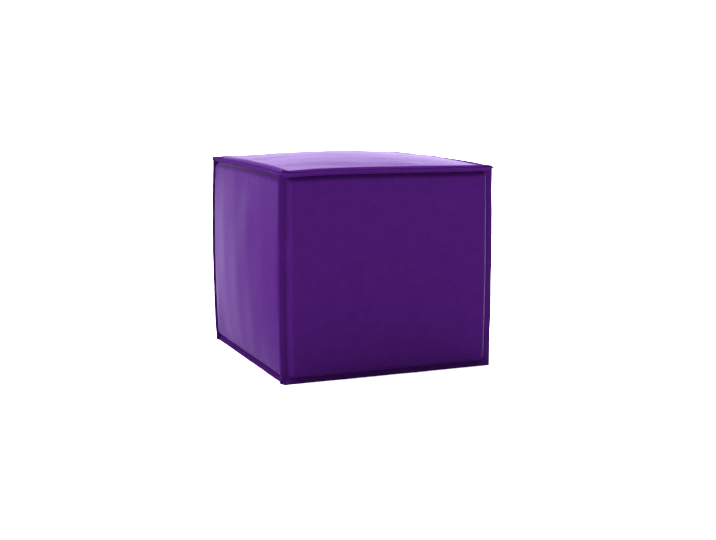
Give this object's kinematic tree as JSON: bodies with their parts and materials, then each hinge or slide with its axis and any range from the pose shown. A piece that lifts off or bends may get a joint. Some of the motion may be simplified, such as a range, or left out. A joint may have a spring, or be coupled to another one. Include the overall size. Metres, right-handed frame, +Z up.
{
  "type": "cube pouf stool",
  "caption": "Cube-shaped felt pouf stool, a filled cube with crowned panels and a raised seam flange standing out along every edge",
  "frame": {"origin": "centre of the footprint, on the floor that the pouf stands on", "axes": "+Z up; -Y is the front, the wide panel that faces the camera; +X is to the right of someone looking at the front"},
  "size_m": [0.4675, 0.487, 0.4273],
  "materials": {
    "panel_felt": "matt violet felt with a fine fuzzy nap, about 3 mm thick",
    "seam_felt": "the same violet felt in two layers, with their paler cut edges showing side by side"
  },
  "bodies": {
    "root": {"filled_cube": "panel_felt", "top_seam_front": "seam_felt", "top_seam_right": "seam_felt", "top_seam_back": "seam_felt", "top_seam_left": "seam_felt", "bottom_seam_front": "seam_felt", "bottom_seam_right": "seam_felt", "bottom_seam_back": "seam_felt", "bottom_seam_left": "seam_felt", "upright_seam_front_left": "seam_felt", "upright_seam_front_right": "seam_felt", "upright_seam_back_left": "seam_felt", "upright_seam_back_right": "seam_felt"}
  },
  "joints": []
}
